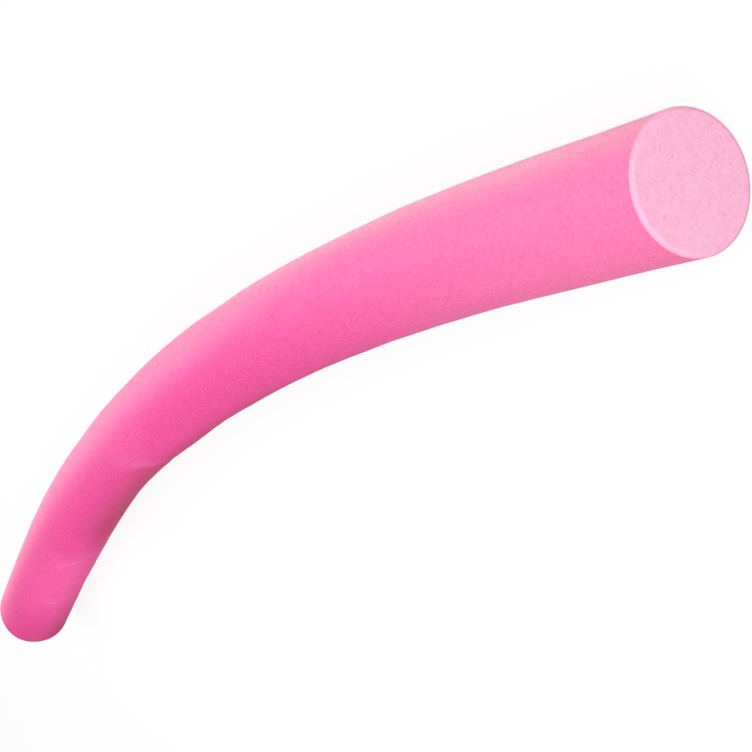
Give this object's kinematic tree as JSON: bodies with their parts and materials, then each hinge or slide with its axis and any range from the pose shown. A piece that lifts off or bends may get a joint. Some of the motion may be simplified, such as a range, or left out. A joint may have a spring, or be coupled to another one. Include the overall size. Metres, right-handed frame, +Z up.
{
  "type": "pool noodle",
  "caption": "Long round float of solid closed-cell foam, gently arched, with flat cut ends. It bends along its length and springs back.",
  "frame": {"origin": "under the middle of the noodle's box, on the surface that it lies on", "axes": "+X from the near cut end to the far cut end, +Z up, square to the plane that the arch lies in; the arch bows towards -Y"},
  "size_m": [1.2226, 0.1308, 0.0633],
  "materials": {
    "foam_skin": "hot pink closed-cell polyethylene foam: a smooth matt skin with fine cell speckle, and paler open cells on the cut ends"
  },
  "bodies": {
    "near_end": {"near_end": "foam_skin"},
    "foam_length_02": {"foam_length_02": "foam_skin"},
    "foam_length_03": {"foam_length_03": "foam_skin"},
    "foam_length_04": {"foam_length_04": "foam_skin"},
    "foam_length_05": {"foam_length_05": "foam_skin"},
    "foam_length_06": {"foam_length_06": "foam_skin"},
    "foam_length_07": {"foam_length_07": "foam_skin"},
    "foam_length_08": {"foam_length_08": "foam_skin"},
    "foam_length_09": {"foam_length_09": "foam_skin"},
    "foam_length_10": {"foam_length_10": "foam_skin"},
    "foam_length_11": {"foam_length_11": "foam_skin"},
    "foam_length_12": {"foam_length_12": "foam_skin"},
    "foam_length_13": {"foam_length_13": "foam_skin"},
    "foam_length_14": {"foam_length_14": "foam_skin"},
    "foam_length_15": {"foam_length_15": "foam_skin"},
    "foam_length_16": {"foam_length_16": "foam_skin"},
    "foam_length_17": {"foam_length_17": "foam_skin"},
    "foam_length_18": {"foam_length_18": "foam_skin"},
    "foam_length_19": {"foam_length_19": "foam_skin"},
    "foam_length_20": {"foam_length_20": "foam_skin"},
    "foam_length_21": {"foam_length_21": "foam_skin"},
    "foam_length_22": {"foam_length_22": "foam_skin"},
    "foam_length_23": {"foam_length_23": "foam_skin"},
    "far_end": {"far_end": "foam_skin"}
  },
  "joints": [
    {"name": "bend_01", "type": "hinge", "parent": "foam_length_02", "child": "near_end", "pos_m": [-0.55448, 0.02512, 0.03165], "axis": [0, 0, -1], "range_deg": [-13.85, 13.15], "stiffness_Nm_per_rad": 9.4},
    {"name": "bend_02", "type": "hinge", "parent": "foam_length_03", "child": "foam_length_02", "pos_m": [-0.50447, 0.01624, 0.03165], "axis": [0, 0, -1], "range_deg": [-13.97, 13.03], "stiffness_Nm_per_rad": 9.4},
    {"name": "bend_03", "type": "hinge", "parent": "foam_length_04", "child": "foam_length_03", "pos_m": [-0.45439, 0.00779, 0.03165], "axis": [0, 0, -1], "range_deg": [-14.1, 12.9], "stiffness_Nm_per_rad": 9.4},
    {"name": "bend_04", "type": "hinge", "parent": "foam_length_05", "child": "foam_length_04", "pos_m": [-0.40422, -0.00015, 0.03165], "axis": [0, 0, -1], "range_deg": [-14.25, 12.75], "stiffness_Nm_per_rad": 9.4},
    {"name": "bend_05", "type": "hinge", "parent": "foam_length_06", "child": "foam_length_05", "pos_m": [-0.35395, -0.00742, 0.03165], "axis": [0, 0, -1], "range_deg": [-14.4, 12.6], "stiffness_Nm_per_rad": 9.4},
    {"name": "bend_06", "type": "hinge", "parent": "foam_length_07", "child": "foam_length_06", "pos_m": [-0.30358, -0.01391, 0.03165], "axis": [0, 0, -1], "range_deg": [-14.48, 12.52], "stiffness_Nm_per_rad": 9.4},
    {"name": "bend_07", "type": "hinge", "parent": "foam_length_08", "child": "foam_length_07", "pos_m": [-0.2531, -0.01954, 0.03165], "axis": [0, 0, -1], "range_deg": [-14.55, 12.45], "stiffness_Nm_per_rad": 9.4},
    {"name": "bend_08", "type": "hinge", "parent": "foam_length_09", "child": "foam_length_08", "pos_m": [-0.20252, -0.02424, 0.03165], "axis": [0, 0, -1], "range_deg": [-14.55, 12.45], "stiffness_Nm_per_rad": 9.4},
    {"name": "bend_09", "type": "hinge", "parent": "foam_length_10", "child": "foam_length_09", "pos_m": [-0.15187, -0.02801, 0.03165], "axis": [0, 0, -1], "range_deg": [-14.55, 12.45], "stiffness_Nm_per_rad": 9.4},
    {"name": "bend_10", "type": "hinge", "parent": "foam_length_11", "child": "foam_length_10", "pos_m": [-0.10116, -0.03085, 0.03165], "axis": [0, 0, -1], "range_deg": [-14.55, 12.45], "stiffness_Nm_per_rad": 9.4},
    {"name": "bend_11", "type": "hinge", "parent": "foam_length_12", "child": "foam_length_11", "pos_m": [-0.05041, -0.03277, 0.03165], "axis": [0, 0, -1], "range_deg": [-14.55, 12.45], "stiffness_Nm_per_rad": 9.4},
    {"name": "bend_12", "type": "hinge", "parent": "foam_length_13", "child": "foam_length_12", "pos_m": [0.00037, -0.03375, 0.03165], "axis": [0, 0, -1], "range_deg": [-14.6, 12.4], "stiffness_Nm_per_rad": 9.4},
    {"name": "bend_13", "type": "hinge", "parent": "foam_length_13", "child": "foam_length_14", "pos_m": [0.05116, -0.03376, 0.03165], "axis": [0, 0, 1], "range_deg": [-14.65, 12.35], "stiffness_Nm_per_rad": 9.4},
    {"name": "bend_14", "type": "hinge", "parent": "foam_length_14", "child": "foam_length_15", "pos_m": [0.10195, -0.03275, 0.03165], "axis": [0, 0, 1], "range_deg": [-14.78, 12.22], "stiffness_Nm_per_rad": 9.4},
    {"name": "bend_15", "type": "hinge", "parent": "foam_length_15", "child": "foam_length_16", "pos_m": [0.15269, -0.03061, 0.03165], "axis": [0, 0, 1], "range_deg": [-14.9, 12.1], "stiffness_Nm_per_rad": 9.4},
    {"name": "bend_16", "type": "hinge", "parent": "foam_length_16", "child": "foam_length_17", "pos_m": [0.20337, -0.02724, 0.03165], "axis": [0, 0, 1], "range_deg": [-14.9, 12.1], "stiffness_Nm_per_rad": 9.4},
    {"name": "bend_17", "type": "hinge", "parent": "foam_length_17", "child": "foam_length_18", "pos_m": [0.25395, -0.02262, 0.03165], "axis": [0, 0, 1], "range_deg": [-14.9, 12.1], "stiffness_Nm_per_rad": 9.4},
    {"name": "bend_18", "type": "hinge", "parent": "foam_length_18", "child": "foam_length_19", "pos_m": [0.3044, -0.01677, 0.03165], "axis": [0, 0, 1], "range_deg": [-14.7, 12.3], "stiffness_Nm_per_rad": 9.4},
    {"name": "bend_19", "type": "hinge", "parent": "foam_length_19", "child": "foam_length_20", "pos_m": [0.35472, -0.00986, 0.03165], "axis": [0, 0, 1], "range_deg": [-14.5, 12.5], "stiffness_Nm_per_rad": 9.4},
    {"name": "bend_20", "type": "hinge", "parent": "foam_length_20", "child": "foam_length_21", "pos_m": [0.40491, -0.00208, 0.03165], "axis": [0, 0, 1], "range_deg": [-14.3, 12.7], "stiffness_Nm_per_rad": 9.4},
    {"name": "bend_21", "type": "hinge", "parent": "foam_length_21", "child": "foam_length_22", "pos_m": [0.45499, 0.0064, 0.03165], "axis": [0, 0, 1], "range_deg": [-14.1, 12.9], "stiffness_Nm_per_rad": 9.4},
    {"name": "bend_22", "type": "hinge", "parent": "foam_length_22", "child": "foam_length_23", "pos_m": [0.50498, 0.01541, 0.03165], "axis": [0, 0, 1], "range_deg": [-13.9, 13.1], "stiffness_Nm_per_rad": 9.4},
    {"name": "bend_23", "type": "hinge", "parent": "foam_length_23", "child": "far_end", "pos_m": [0.5549, 0.02476, 0.03165], "axis": [0, 0, 1], "range_deg": [-13.7, 13.3], "stiffness_Nm_per_rad": 9.4}
  ]
}
